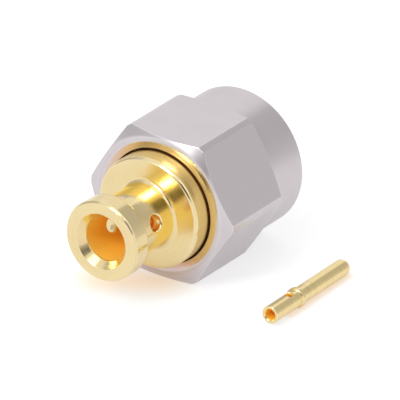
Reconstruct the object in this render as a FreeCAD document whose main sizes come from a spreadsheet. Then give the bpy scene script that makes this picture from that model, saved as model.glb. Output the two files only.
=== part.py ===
import FreeCAD, Part
import math
import os
import Sketcher

# A straight solder-type coaxial plug for a 2.2 mm cable, seen as it is supplied: the turned
# body with its coupling nut, and the centre contact lying loose beside it.
# The frame is +X from the cable end to the mating end along the connector's axis, +Z up,
# with the origin where that axis meets the mating reference plane (the front of the nose).
# The nut rests on one of its flats. Lengths are in millimetres.

PARTS_FOLDER = "parts"

# name, value, what it measures
DRIVING_SIZES = [
    ("noseDiameter", 4.59, "outer contact that enters the mating jack"),
    ("noseLength", 2.75, "reference plane back to the flange face"),
    ("noseChamfer", 0.1, "lead-in on the nose"),
    ("noseWall", 0.225, "wall of the nose around the bead"),
    ("flangeHeight", 0.825, "radial, barrel above the nose"),
    ("barrelLength", 3.85, "flange face back to the rear shoulder"),
    ("barrelChamfer", 0.12, "both ends of the barrel"),
    ("neckDiameter", 3.46, "thin neck behind the shoulder"),
    ("neckLength", 2.98, "shoulder back to the ferrule"),
    ("neckFootRadius", 0.25, "fillet where neck meets shoulder"),
    ("ferruleDiameter", 4.48, "collar at the cable end"),
    ("ferruleLength", 1.18, "length of that collar"),
    ("ferruleRounding", 0.12, "its outer edges"),
    ("cableBoreDiameter", 2.4, "takes the jacket of the cable"),
    ("cableBoreDepth", 5.15, "cable end to the stop lip"),
    ("cableMouthDiameter", 3.13, "countersink of the cable bore"),
    ("cableMouthDepth", 0.42, "its depth"),
    ("dielectricBoreDiameter", 1.8, "takes the bared dielectric past the lip"),
    ("solderHoleDiameter", 0.9, "cross-drilled through both neck walls"),
    ("solderHoleSetback", 1.53, "shoulder back to the hole's axis"),
    ("solderHoleTilt", 19.5, "degrees that the hole leans up from level"),
    ("solderHoleChamfer", 0.05, "broken edge of the hole"),
    ("insulatorLength", 3.0, "its face is flush with the reference plane"),
    ("insulatorClearance", 0.02, "radial, bead in its seat"),
    ("insulatorChamfer", 0.12, "rear edge of the bead"),
    ("gasketThickness", 0.8, "sealing ring on the flange face"),
    ("gasketInset", 0.02, "radial, outside of the ring below the barrel"),
    ("gasketSeatStep", 0.205, "radial, collar at the root of the nose that centres the ring"),
    ("gasketStandOff", 0.1, "ring thicker than that collar is long"),
    ("gasketClearance", 0.02, "radial, ring on its collar"),
    ("gasketChamfer", 0.12, "broken edges of the sealing ring"),
    ("retainerWidth", 0.5, "split retaining ring along the axis"),
    ("retainerBarrelDepth", 0.27, "radial, ring set into the barrel"),
    ("retainerNutDepth", 0.23, "radial, ring set into the wall of the nut's bore"),
    ("retainerGap", 1.2, "the split"),
    ("retainerStation", 2.52, "rear shoulder forward to the ring's middle"),
    ("retainerSideClearance", 0.05, "each side of the ring in both grooves"),
    ("retainerRadialClearance", 0.1, "ring to the floor of each groove"),
    ("retainerChamfer", 0.06, "broken edges of the ring"),
    ("nutAcrossFlats", 8.0, "wrench size"),
    ("nutCornerDiameter", 9.03, "the corners are turned to this"),
    ("nutLength", 7.76, "whole coupling nut"),
    ("nutHexLength", 4.98, "rear face to the end of the hexagon"),
    ("nutSkirtWall", 0.675, "round front of the nut, outside its thread"),
    ("nutSkirtChamfer", 0.15, "front edge of the skirt"),
    ("nutRearFaceDiameter", 7.76, "where the rear chamfer starts"),
    ("nutRearChamfer", 0.33, "axial length of the rear corner chamfer"),
    ("nutFrontChamfer", 0.2, "axial length of the front corner chamfer"),
    ("nutOverhang", 1.0, "barrel that shows behind the nut"),
    ("nutBoreClearance", 0.1, "radial, nut on barrel"),
    ("nutRearLand", 0.265, "radial, rear face between its countersink and its corner chamfer"),
    ("nutMouthDepth", 0.13, "depth of that countersink"),
    ("threadDiameter", 6.4, "major diameter of the coupling thread"),
    ("threadLength", 3.6, "thread, from the front face back"),
    ("threadMouthChamfer", 0.25, "lead-in of the thread"),
    ("threadRunout", 0.05, "axial length of the step behind the thread"),
    ("contactCupDiameter", 0.96, "solder cup of the centre contact"),
    ("contactCupLength", 2.4, "cup, from its mouth to the collar"),
    ("contactBoreDiameter", 0.6, "takes the inner conductor"),
    ("contactBoreDepth", 2.2, "full diameter of that bore"),
    ("contactBoreChamfer", 0.05, "mouth of the cup"),
    ("contactCupRounding", 0.05, "outer edge of the cup"),
    ("wickHoleDiameter", 0.46, "solder hole in the cup's wall"),
    ("wickHoleStation", 1.83, "cup mouth forward to the hole"),
    ("wickHoleChamfer", 0.03, "broken edge of the hole"),
    ("contactCollarDiameter", 1.12, "collar that stops against the bead"),
    ("contactCollarLength", 0.32, "width of the collar"),
    ("contactCollarChamfer", 0.06, "edges of the collar"),
    ("contactPinDiameter", 0.94, "mating pin"),
    ("contactPinLength", 4.64, "collar to the tip"),
    ("contactTipDiameter", 0.56, "flat at the tip"),
    ("contactTipLength", 0.32, "taper of the tip"),
    ("contactTipRounding", 0.1, "edge between pin and taper"),
    ("contactBeadClearance", 0.01, "radial, pin and collar in the bead"),
    ("contactRestX", -6.43, "cup mouth of the loose contact"),
    ("contactRestY", -7.83, "the same point, across the axis"),
    ("contactRestHeading", 2.0, "degrees that it turns away from the axis"),
    ("contactRestRoll", 5.0, "degrees that its wick hole turns from straight up"),
]

DRILL_POINT_ANGLE = 118.0
FULL_TURN = 360.0
# an edge found by its place or its radius is off by less than this, in millimetres
EDGE_TOLERANCE = 1e-4
# a rim's points lie on their wall to within this, and it spans this share of the hole's diameter
RIM_TOLERANCE = 1e-3
RIM_SPAN = (0.4, 1.01)
RIM_POINTS = 9
FLAT_COUNT = 6


class Size:
    # A length from the sheet, or one worked out from others: its number and its formula.
    def __init__(self, number, formula):
        self.number = number
        self.formula = formula

    def __add__(self, other):
        other = sized(other)
        return Size(self.number + other.number, f"({self.formula} + {other.formula})")

    def __sub__(self, other):
        other = sized(other)
        return Size(self.number - other.number, f"({self.formula} - {other.formula})")

    def __mul__(self, factor):
        return Size(self.number * factor, f"({self.formula} * {factor!r})")

    def __truediv__(self, divisor):
        return Size(self.number / divisor, f"({self.formula} / {divisor!r})")

    def __neg__(self):
        return Size(-self.number, f"(-{self.formula})")


def sized(value):
    return value if isinstance(value, Size) else Size(value, repr(value))


ZERO = sized(0.0)

doc = FreeCAD.newDocument("coaxial_plug")
sheet = doc.addObject("Spreadsheet::Sheet", "Sizes")
SIZE = {}
for row, (alias, number, meaning) in enumerate(DRIVING_SIZES, start=1):
    sheet.set(f"A{row}", alias)
    sheet.set(f"B{row}", str(number))
    sheet.set(f"C{row}", meaning)
    sheet.setAlias(f"B{row}", alias)
    SIZE[alias] = Size(number, f"Sizes.{alias}")
doc.recompute()


def new_body(label):
    body = doc.addObject("PartDesign::Body", label)
    body.Label = label
    return body


def origin_plane(body, role):
    return next(plane for plane in body.Origin.OriginFeatures if plane.Role == role)


def new_sketch(body, name, role):
    sketch = body.newObject("Sketcher::SketchObject", name)
    sketch.AttachmentSupport = (origin_plane(body, role), "")
    sketch.MapMode = "FlatFace"
    return sketch


# Each corner is held from the sketch's origin by two distances bound to the sheet.
def draw_outline(sketch, corners):
    points = [FreeCAD.Vector(u.number, v.number, 0) for u, v in corners]
    count = len(points)
    for i in range(count):
        sketch.addGeometry(Part.LineSegment(points[i], points[(i + 1) % count]), False)
    for i in range(count):
        sketch.addConstraint(Sketcher.Constraint("Coincident", i, 2, (i + 1) % count, 1))
    for i, (u, v) in enumerate(corners):
        hold(sketch, "DistanceX", i, u, -2)
        hold(sketch, "DistanceY", i, v, -1)


def hold(sketch, kind, line, distance, axis):
    if distance is ZERO:
        sketch.addConstraint(Sketcher.Constraint("PointOnObject", line, 1, axis))
        return
    index = sketch.addConstraint(Sketcher.Constraint(kind, line, 1, distance.number))
    sketch.setExpression(f"Constraints[{index}]", distance.formula)


def draw_circle(sketch, diameter, station):
    centre = FreeCAD.Vector(station.number, 0, 0)
    sketch.addGeometry(Part.Circle(centre, FreeCAD.Vector(0, 0, 1), diameter.number / 2), False)
    sketch.addConstraint(Sketcher.Constraint("PointOnObject", 0, 3, -1))
    index = sketch.addConstraint(Sketcher.Constraint("DistanceX", 0, 3, station.number))
    sketch.setExpression(f"Constraints[{index}]", station.formula)
    index = sketch.addConstraint(Sketcher.Constraint("Diameter", 0, diameter.number))
    sketch.setExpression(f"Constraints[{index}]", diameter.formula)


# A half-section (x along the axis, y the radius) turned about the connector's axis.
def turn(body, name, corners):
    sketch = new_sketch(body, name + "_section", "XZ_Plane")
    draw_outline(sketch, corners)
    feature = body.newObject("PartDesign::Revolution", name)
    feature.Profile = sketch
    feature.ReferenceAxis = (sketch, ["H_Axis"])
    feature.Angle = FULL_TURN
    doc.recompute()
    return feature


# Cuts away a sketch's area on the side that its normal points to.
def cut_forward(body, name, sketch, depth):
    before = body.Shape.Volume
    feature = body.newObject("PartDesign::Pocket", name)
    feature.Profile = sketch
    feature.Reversed = True
    feature.setExpression("Length", depth.formula)
    doc.recompute()
    if not feature.Shape.Volume < before:
        raise RuntimeError(name + " cuts nothing")
    return feature


def circle_edges(shape, places):
    names = []
    for index, edge in enumerate(shape.Edges, start=1):
        if not isinstance(edge.Curve, Part.Circle):
            continue
        for x, diameter in places:
            offset = edge.Curve.Center - FreeCAD.Vector(x.number, 0, 0)
            off_radius = abs(edge.Curve.Radius - diameter.number / 2)
            if max(offset.Length, off_radius) < EDGE_TOLERANCE:
                names.append(f"Edge{index}")
    if len(names) < len(places):
        raise RuntimeError("an edge to dress is missing")
    return names


def round_edges(body, name, base, places, radius):
    feature = body.newObject("PartDesign::Fillet", name)
    feature.Base = (base, circle_edges(base.Shape, places))
    feature.setExpression("Radius", radius.formula)
    doc.recompute()
    return feature


# The rims that a cross hole leaves on the outside of a round wall of the given diameter.
def break_rims(body, name, base, hole, wall, width):
    names = []
    for index, edge in enumerate(base.Shape.Edges, start=1):
        box = edge.BoundBox
        if not RIM_SPAN[0] <= box.XLength / hole.number <= RIM_SPAN[1]:
            continue
        points = edge.discretize(RIM_POINTS)
        radii = [math.hypot(point.y, point.z) for point in points]
        if max(abs(radius - wall.number / 2) for radius in radii) < RIM_TOLERANCE:
            names.append(f"Edge{index}")
    feature = body.newObject("PartDesign::Chamfer", name)
    feature.Base = (base, names)
    feature.setExpression("Size", width.formula)
    doc.recompute()
    return feature


# Stations along the axis, worked back from the reference plane
flange_x = -SIZE["noseLength"]
shoulder_x = flange_x - SIZE["barrelLength"]
ferrule_front_x = shoulder_x - SIZE["neckLength"]
cable_end_x = ferrule_front_x - SIZE["ferruleLength"]
nut_rear_x = shoulder_x + SIZE["nutOverhang"]
nut_front_x = nut_rear_x + SIZE["nutLength"]
hex_end_x = nut_rear_x + SIZE["nutHexLength"]
retainer_x = shoulder_x + SIZE["retainerStation"]
retainer_half = SIZE["retainerWidth"] / 2
groove_half = retainer_half + SIZE["retainerSideClearance"]
gasket_front_x = flange_x + SIZE["gasketThickness"]
nose_radius = SIZE["noseDiameter"] / 2
barrel_radius = nose_radius + SIZE["flangeHeight"]
nut_bore_radius = barrel_radius + SIZE["nutBoreClearance"]
bead_seat_radius = nose_radius - SIZE["noseWall"]
gasket_seat_radius = nose_radius + SIZE["gasketSeatStep"]
ring_inner_radius = barrel_radius - SIZE["retainerBarrelDepth"]
ring_outer_radius = nut_bore_radius + SIZE["retainerNutDepth"]
floor_z = -SIZE["nutAcrossFlats"] / 2


def build_connector_body():
    body = new_body("connector_body")
    barrel = barrel_radius
    nose = nose_radius
    neck = SIZE["neckDiameter"] / 2
    ferrule = SIZE["ferruleDiameter"] / 2
    mouth = SIZE["cableMouthDiameter"] / 2
    cable = SIZE["cableBoreDiameter"] / 2
    dielectric = SIZE["dielectricBoreDiameter"] / 2
    groove = ring_inner_radius - SIZE["retainerRadialClearance"]
    edge = SIZE["barrelChamfer"]
    lead_in = SIZE["noseChamfer"]
    stop_x = cable_end_x + SIZE["cableBoreDepth"]
    bead_x = -SIZE["insulatorLength"]
    collar_x = gasket_front_x - SIZE["gasketStandOff"]
    turned = turn(body, "turned_body", [
        (cable_end_x, mouth),
        (cable_end_x, ferrule),
        (ferrule_front_x, ferrule),
        (ferrule_front_x, neck),
        (shoulder_x, neck),
        (shoulder_x, barrel - edge),
        (shoulder_x + edge, barrel),
        (retainer_x - groove_half, barrel),
        (retainer_x - groove_half, groove),
        (retainer_x + groove_half, groove),
        (retainer_x + groove_half, barrel),
        (flange_x - edge, barrel),
        (flange_x, barrel - edge),
        (flange_x, gasket_seat_radius),
        (collar_x, gasket_seat_radius),
        (collar_x, nose),
        (-lead_in, nose),
        (ZERO, nose - lead_in),
        (ZERO, bead_seat_radius),
        (bead_x, bead_seat_radius),
        (bead_x, dielectric),
        (stop_x, dielectric),
        (stop_x, cable),
        (cable_end_x + SIZE["cableMouthDepth"], cable),
    ])
    foot = round_edges(body, "neck_foot", turned,
                       [(shoulder_x, SIZE["neckDiameter"])], SIZE["neckFootRadius"])
    collar = round_edges(body, "ferrule_edges", foot,
                         [(cable_end_x, SIZE["ferruleDiameter"]),
                          (ferrule_front_x, SIZE["ferruleDiameter"])], SIZE["ferruleRounding"])
    sketch = new_sketch(body, "solder_hole_circle", "XZ_Plane")
    sketch.AttachmentOffset = FreeCAD.Placement(
        FreeCAD.Vector(0, 0, 0),
        FreeCAD.Rotation(FreeCAD.Vector(-1, 0, 0), SIZE["solderHoleTilt"].number))
    sketch.setExpression("AttachmentOffset.Rotation.Angle",
                         SIZE["solderHoleTilt"].formula + " * 1 deg")
    draw_circle(sketch, SIZE["solderHoleDiameter"], shoulder_x - SIZE["solderHoleSetback"])
    hole = body.newObject("PartDesign::Pocket", "solder_holes")
    hole.Profile = sketch
    hole.Midplane = True
    hole.setExpression("Length", (SIZE["neckDiameter"] * 2).formula)
    doc.recompute()
    if not hole.Shape.Volume < collar.Shape.Volume:
        raise RuntimeError("the solder holes cut nothing")
    break_rims(body, "solder_hole_rims", hole, SIZE["solderHoleDiameter"],
               SIZE["neckDiameter"], SIZE["solderHoleChamfer"])
    return body


def build_coupling_nut():
    body = new_body("coupling_nut")
    corner = SIZE["nutCornerDiameter"] / 2
    bore = nut_bore_radius
    groove = ring_outer_radius + SIZE["retainerRadialClearance"]
    thread = SIZE["threadDiameter"] / 2
    skirt = thread + SIZE["nutSkirtWall"]
    rear_face = SIZE["nutRearFaceDiameter"] / 2
    thread_end_x = nut_front_x - SIZE["threadLength"]
    lead_in = SIZE["threadMouthChamfer"]
    edge = SIZE["nutSkirtChamfer"]
    turn(body, "turned_nut", [
        (nut_rear_x, rear_face - SIZE["nutRearLand"]),
        (nut_rear_x, rear_face),
        (nut_rear_x + SIZE["nutRearChamfer"], corner),
        (hex_end_x - SIZE["nutFrontChamfer"], corner),
        (hex_end_x, skirt),
        (nut_front_x - edge, skirt),
        (nut_front_x, skirt - edge),
        (nut_front_x, thread + lead_in),
        (nut_front_x - lead_in, thread),
        (thread_end_x, thread),
        (thread_end_x - SIZE["threadRunout"], bore),
        (retainer_x + groove_half, bore),
        (retainer_x + groove_half, groove),
        (retainer_x - groove_half, groove),
        (retainer_x - groove_half, bore),
        (nut_rear_x + SIZE["nutMouthDepth"], bore),
    ])
    half_flat = SIZE["nutAcrossFlats"] / 2
    sketch = new_sketch(body, "flat_section", "YZ_Plane")
    sketch.setExpression("AttachmentOffset.Base.z", nut_rear_x.formula)
    reach = SIZE["nutCornerDiameter"]
    draw_outline(sketch, [
        (-reach, half_flat),
        (reach, half_flat),
        (reach, half_flat + reach),
        (-reach, half_flat + reach),
    ])
    flat = cut_forward(body, "milled_flat", sketch, SIZE["nutHexLength"])
    flats = body.newObject("PartDesign::PolarPattern", "six_flats")
    flats.Originals = [flat]
    flats.Axis = (next(axis for axis in body.Origin.OriginFeatures if axis.Role == "X_Axis"), [""])
    flats.Angle = FULL_TURN
    flats.Occurrences = FLAT_COUNT
    body.Tip = flats
    doc.recompute()
    return body


def build_retaining_ring():
    body = new_body("retaining_ring")
    inner = ring_inner_radius
    outer = ring_outer_radius
    rear = retainer_x - retainer_half
    front = retainer_x + retainer_half
    edge = SIZE["retainerChamfer"]
    turn(body, "turned_ring", [
        (rear, inner + edge),
        (rear, outer - edge),
        (rear + edge, outer),
        (front - edge, outer),
        (front, outer - edge),
        (front, inner + edge),
        (front - edge, inner),
        (rear + edge, inner),
    ])
    sketch = new_sketch(body, "split_section", "XY_Plane")
    half_gap = SIZE["retainerGap"] / 2
    draw_outline(sketch, [
        (retainer_x - SIZE["retainerWidth"], -half_gap),
        (retainer_x + SIZE["retainerWidth"], -half_gap),
        (retainer_x + SIZE["retainerWidth"], half_gap),
        (retainer_x - SIZE["retainerWidth"], half_gap),
    ])
    cut_forward(body, "split", sketch, outer * 2)
    return body


def build_insulator():
    body = new_body("insulator")
    outside = bead_seat_radius - SIZE["insulatorClearance"]
    pin_hole = SIZE["contactPinDiameter"] / 2 + SIZE["contactBeadClearance"]
    collar_seat = SIZE["contactCollarDiameter"] / 2 + SIZE["contactBeadClearance"]
    rear = -SIZE["insulatorLength"]
    edge = SIZE["insulatorChamfer"]
    turn(body, "turned_bead", [
        (rear, collar_seat),
        (rear, outside - edge),
        (rear + edge, outside),
        (ZERO, outside),
        (ZERO, pin_hole),
        (rear + SIZE["contactCollarLength"], pin_hole),
        (rear + SIZE["contactCollarLength"], collar_seat),
    ])
    return body


def build_gasket():
    body = new_body("gasket")
    inner = gasket_seat_radius + SIZE["gasketClearance"]
    outer = barrel_radius - SIZE["gasketInset"]
    edge = SIZE["gasketChamfer"]
    turn(body, "moulded_ring", [
        (flange_x, inner),
        (flange_x, outer - edge),
        (flange_x + edge, outer),
        (gasket_front_x - edge, outer),
        (gasket_front_x, outer - edge),
        (gasket_front_x, inner + edge),
        (gasket_front_x - edge, inner),
    ])
    return body


# The contact is drawn along +X from its cup mouth, then laid on the surface that the nut
# rests on: it leans on its collar and on the pin's edge where the tip's taper starts.
def build_centre_contact():
    body = new_body("centre_contact")
    cup = SIZE["contactCupDiameter"] / 2
    bore = SIZE["contactBoreDiameter"] / 2
    collar = SIZE["contactCollarDiameter"] / 2
    pin = SIZE["contactPinDiameter"] / 2
    edge = SIZE["contactBoreChamfer"]
    bevel = SIZE["contactCollarChamfer"]
    collar_x = SIZE["contactCupLength"]
    pin_x = collar_x + SIZE["contactCollarLength"]
    tip_x = pin_x + SIZE["contactPinLength"]
    taper_x = tip_x - SIZE["contactTipLength"]
    drill_rise = math.tan(math.radians(DRILL_POINT_ANGLE / 2))
    turned = turn(body, "turned_contact", [
        (ZERO, bore + edge),
        (ZERO, cup),
        (collar_x, cup),
        (collar_x, collar - bevel),
        (collar_x + bevel, collar),
        (pin_x - bevel, collar),
        (pin_x, collar - bevel),
        (pin_x, pin),
        (taper_x, pin),
        (tip_x, SIZE["contactTipDiameter"] / 2),
        (tip_x, ZERO),
        (SIZE["contactBoreDepth"] + bore / drill_rise, ZERO),
        (SIZE["contactBoreDepth"], bore),
        (edge, bore),
    ])
    mouth = round_edges(body, "cup_edge", turned,
                        [(ZERO, SIZE["contactCupDiameter"])], SIZE["contactCupRounding"])
    round_edges(body, "tip_edge", mouth,
                [(taper_x, SIZE["contactPinDiameter"])], SIZE["contactTipRounding"])
    sketch = new_sketch(body, "wick_hole_circle", "XY_Plane")
    draw_circle(sketch, SIZE["wickHoleDiameter"], SIZE["wickHoleStation"])
    hole = cut_forward(body, "wick_hole", sketch, SIZE["contactCupDiameter"])
    break_rims(body, "wick_hole_rim", hole, SIZE["wickHoleDiameter"],
               SIZE["contactCupDiameter"], SIZE["wickHoleChamfer"])
    lean = math.degrees(math.asin((collar - pin).number / (taper_x - pin_x).number))
    nose_down = FreeCAD.Rotation(FreeCAD.Vector(0, 1, 0), lean)
    heading = FreeCAD.Rotation(FreeCAD.Vector(0, 0, 1), SIZE["contactRestHeading"].number)
    roll = FreeCAD.Rotation(FreeCAD.Vector(-1, 0, 0), SIZE["contactRestRoll"].number)
    attitude = heading * nose_down * roll
    place = FreeCAD.Vector(SIZE["contactRestX"].number, SIZE["contactRestY"].number, 0)
    body.Placement = FreeCAD.Placement(place, attitude)
    doc.recompute()
    place.z = floor_z.number - body.Shape.optimalBoundingBox(False).ZMin
    body.Placement = FreeCAD.Placement(place, attitude)
    return body


def check_document(bodies):
    for item in doc.Objects:
        if "Invalid" in item.State or "Error" in item.State:
            raise RuntimeError(item.Label + " failed")
    for body in bodies:
        shape = body.Shape
        if shape.isNull() or not shape.isValid() or len(shape.Solids) != 1:
            raise RuntimeError(body.Label + " isn't one valid solid")


bodies = [
    build_connector_body(),
    build_coupling_nut(),
    build_retaining_ring(),
    build_insulator(),
    build_gasket(),
    build_centre_contact(),
]
doc.recompute()
check_document(bodies)
os.makedirs(PARTS_FOLDER, exist_ok=True)
for body in bodies:
    body.Shape.exportStep(f"{PARTS_FOLDER}/{body.Label}.step")
    box = body.Shape.optimalBoundingBox(False)
    print(f"{body.Label}: {body.Shape.Volume:.3f} mm3, "
          f"x {box.XMin:.2f} to {box.XMax:.2f}, y {box.YMin:.2f} to {box.YMax:.2f}, "
          f"z {box.ZMin:.2f} to {box.ZMax:.2f}")
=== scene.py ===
import math
import bmesh
import bpy
import numpy as np
from mathutils import Matrix, Vector


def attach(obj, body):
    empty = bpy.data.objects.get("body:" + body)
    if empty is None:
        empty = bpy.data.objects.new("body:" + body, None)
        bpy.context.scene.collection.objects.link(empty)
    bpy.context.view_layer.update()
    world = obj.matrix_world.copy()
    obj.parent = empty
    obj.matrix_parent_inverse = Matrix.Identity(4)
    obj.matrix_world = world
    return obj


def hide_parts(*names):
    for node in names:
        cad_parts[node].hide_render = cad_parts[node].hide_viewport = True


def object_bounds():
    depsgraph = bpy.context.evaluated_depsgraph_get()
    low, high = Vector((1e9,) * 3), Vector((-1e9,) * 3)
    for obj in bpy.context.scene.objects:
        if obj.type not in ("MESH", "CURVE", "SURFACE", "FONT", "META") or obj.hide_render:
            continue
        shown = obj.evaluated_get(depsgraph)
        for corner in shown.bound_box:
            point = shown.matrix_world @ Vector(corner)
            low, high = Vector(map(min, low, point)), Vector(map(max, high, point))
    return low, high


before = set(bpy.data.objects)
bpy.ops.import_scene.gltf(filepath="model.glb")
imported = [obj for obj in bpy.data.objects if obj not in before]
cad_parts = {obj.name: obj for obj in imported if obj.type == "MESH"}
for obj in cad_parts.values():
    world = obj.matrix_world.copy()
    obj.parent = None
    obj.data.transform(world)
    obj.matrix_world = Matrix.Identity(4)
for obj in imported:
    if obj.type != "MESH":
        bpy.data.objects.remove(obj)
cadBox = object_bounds()
mm = 0.001

arcSteps = 4  # steps along each softened corner
perCorner = arcSteps + 3  # its points, with one more on each side
midCorner = perCorner // 2
sideShare = 0.42  # a softened corner takes at most this much of a side
overshoot = 1.12  # how much farther out the point beyond each end lies
edgeSpan = (-0.2, 1.2)  # the share of edge spreads those points evenly over this, and peaks at 0.5
near = 0.01  # mm, what lies this close to a wall or a face belongs to it
weld = 2e-8  # m, points this close together are one


# Each corner C of a closed outline becomes the curve (1-t)^2 P + 2t(1-t) C + t^2 Q, where P and Q
# lie its softness away along its two sides. One more point beyond P and Q keeps those sides flat.
def softened(corners, softness):
    soft = np.asarray(softness, float)[:, None]

    def reach(step):
        side = np.roll(corners, step, axis=-2) - corners
        length = np.linalg.norm(side, axis=-1, keepdims=True)
        return (side / length * np.minimum(soft, length * sideShare))[..., None, :]

    corner, back, ahead = corners[..., None, :], reach(1), reach(-1)
    t = np.linspace(0, 1, arcSteps + 1)[:, None]
    curve = corner + back * (1 - t) ** 2 + ahead * t ** 2
    points = np.concatenate([corner + back * overshoot, curve, corner + ahead * overshoot], axis=-2)
    return points.reshape(*corners.shape[:-2], -1, 2)


# The share of edge in each of those points: 1 less twice its distance from the curve's middle, and
# never below 0, so it fades out at the curve's ends
def edgeShare(marked):
    bump = np.clip(1 - np.abs(np.linspace(*edgeSpan, perCorner) - 0.5) * 2, 0, 1)
    return (np.asarray(marked, float)[:, None] * bump[None, :]).reshape(-1)


# Quads of a grid whose columns close on themselves, and whose rows do too unless it is a strip,
# less those that a window leaves open
def gridQuads(rows, columns, start=0, strip=False, kept=None):
    i, j = np.meshgrid(np.arange(rows - strip), np.arange(columns), indexing="ij")
    iNext, jNext = (i + 1) % rows, (j + 1) % columns
    quads = start + np.stack([i * columns + j, iNext * columns + j,
                              iNext * columns + jNext, i * columns + jNext], axis=-1)
    return quads.reshape(-1, 4) if kept is None else quads[kept]


# Points (x, r cos a, r sin a) for outlines (x, r) given at each angle a
def turnedPoints(outline, angles):
    outline = np.broadcast_to(outline, (len(angles),) + outline.shape[-2:])
    x, r = outline[..., 0], outline[..., 1]
    a = angles[:, None]
    return np.stack([x, r * np.cos(a), r * np.sin(a)], axis=-1)


holeSteps = {
    "outerPull": (0.75, 0.45, 0.2, 0.06, 0.0),  # rings drawn this far out to the outer window's rim
    "chamferShare": (0.9, 0.5, 0.15), "pastChamfer": 1.2,  # down the chamfer, and just below it
    "flare": 0.01, "flareHeight": 0.02,  # mm, where the hole comes out in the bore
    "innerPull": (0.08, 0.3, 0.6),  # rings drawn this far out to the inner window's rim
    "rimWearAndHighlight": (0, 0, 0, 0, 0.2, 0.6, 1, 1, 0.5),  # of the first rings: edge wear, partly a painted highlight
}


# A cross hole of radius h through a round wall, from outer radius R to inner radius q. In the
# hole's own plane a ring is (h cos t, h sin t), and its height on a wall is sqrt(R^2 - (h sin t)^2).
# Rings run from the outer window's rim in to the hole, down its bore and out to the inner window.
def holeRings(outerRim, innerRim, heading, outer, inner, s):
    station, h, c, steps = s["holeStation"], s["holeRadius"], s["holeChamfer"], holeSteps
    along = np.array([1.0, 0.0, 0.0])
    across = np.array([0.0, -math.sin(heading), math.cos(heading)])
    up = np.array([0.0, math.cos(heading), math.sin(heading)])
    t = np.arctan2(outerRim @ across, outerRim[:, 0] - station)

    def ring(radius, wall, pull, rim):
        u, w = radius * np.cos(t), radius * np.sin(t)
        u = u + (rim[:, 0] - station - u) * pull
        w = w + (rim @ across - w) * pull
        height = np.sqrt(wall ** 2 - w ** 2)
        return (station + u)[:, None] * along + w[:, None] * across + height[:, None] * up

    flared = h + steps["flare"]
    plan = [(h + c, outer, pull, outerRim) for pull in steps["outerPull"]]
    plan += [(h + c * f, outer - c * (1 - f), 0.0, outerRim) for f in steps["chamferShare"]]
    plan += [(h, outer - c * steps["pastChamfer"], 0.0, outerRim), (h, (outer + inner) / 2, 0.0, outerRim)]
    plan += [(h, inner + steps["flareHeight"], 0.0, innerRim), (flared, inner, 0.0, innerRim)]
    plan += [(flared, inner, pull, innerRim) for pull in steps["innerPull"]]
    rings = [outerRim] + [ring(*p) for p in plan] + [innerRim]
    rimWearAndHighlight = np.zeros((len(rings), len(t)))
    rimWearAndHighlight[:len(steps["rimWearAndHighlight"])] = np.array(steps["rimWearAndHighlight"])[:, None]
    return np.stack(rings), rimWearAndHighlight


# The row and column numbers round a window of a grid, in order
def windowRim(rows, columns):
    top = [(rows[0], c) for c in columns[:-1]]
    right = [(r, columns[-1]) for r in rows[:-1]]
    bottom = [(rows[-1], c) for c in columns[:0:-1]]
    left = [(r, columns[0]) for r in rows[:0:-1]]
    return np.array(top + right + bottom + left).T


# A turned and cross-drilled piece from corners (x, r, softness, edge), as points, faces and edge
# shares. Each of the two walls, (number of the corner that it leads to, radius), gets rows for the
# windows; the grid leaves these open, and rings join the outer window to the inner one.
def turnedAndDrilled(corners, s, outerWall, innerWall, firstAngle, holeSides):
    table = np.array(corners)
    outline, edge = softened(table[:, :2], table[:, 2]), edgeShare(table[:, 3])
    reach = np.linspace(-s["windowReach"], s["windowReach"], s["windowRows"] + 1) + s["holeStation"]
    outerRows, innerRows = (np.stack([reach, np.full_like(reach, wall[1])], axis=-1)
                            for wall in (outerWall, innerWall))
    outerAt, innerAt = perCorner * outerWall[0], perCorner * innerWall[0]
    blank = np.zeros(len(reach))
    outline = np.concatenate([outline[:outerAt], outerRows, outline[outerAt:innerAt], innerRows[::-1],
                              outline[innerAt:]])
    edge = np.concatenate([edge[:outerAt], blank, edge[outerAt:innerAt], blank, edge[innerAt:]])
    outerIndex = np.arange(len(reach)) + outerAt
    innerIndex = (np.arange(len(reach)) + innerAt + len(reach))[::-1]
    sides, half, count = s["sides"], s["windowHalf"], len(outline)
    angles = firstAngle + np.arange(sides) * 2 * math.pi / sides
    grid = turnedPoints(outline, angles)
    kept = np.ones((sides, count), bool)
    points, edges, strips = [grid.reshape(-1, 3)], [np.tile(edge, sides)], []
    start = sides * count
    for side in holeSides:
        columns = np.arange(side - half, side + half + 1) % sides
        for rows in (outerIndex, innerIndex):
            kept[np.ix_(columns[:-1], np.sort(rows)[:-1])] = False
        outerRim, innerRim = (grid[tuple(windowRim(columns, rows))] for rows in (outerIndex, innerIndex))
        rings, rimWearAndHighlight = holeRings(outerRim, innerRim, angles[side], outerWall[1], innerWall[1], s)
        strips.append(gridQuads(*rimWearAndHighlight.shape, start, strip=True))
        points.append(rings.reshape(-1, 3))
        edges.append(rimWearAndHighlight.reshape(-1))
        start += rimWearAndHighlight.size
    faces = np.concatenate([gridQuads(sides, count, kept=kept)] + strips)
    return np.concatenate(points), faces, np.concatenate(edges)


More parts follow.
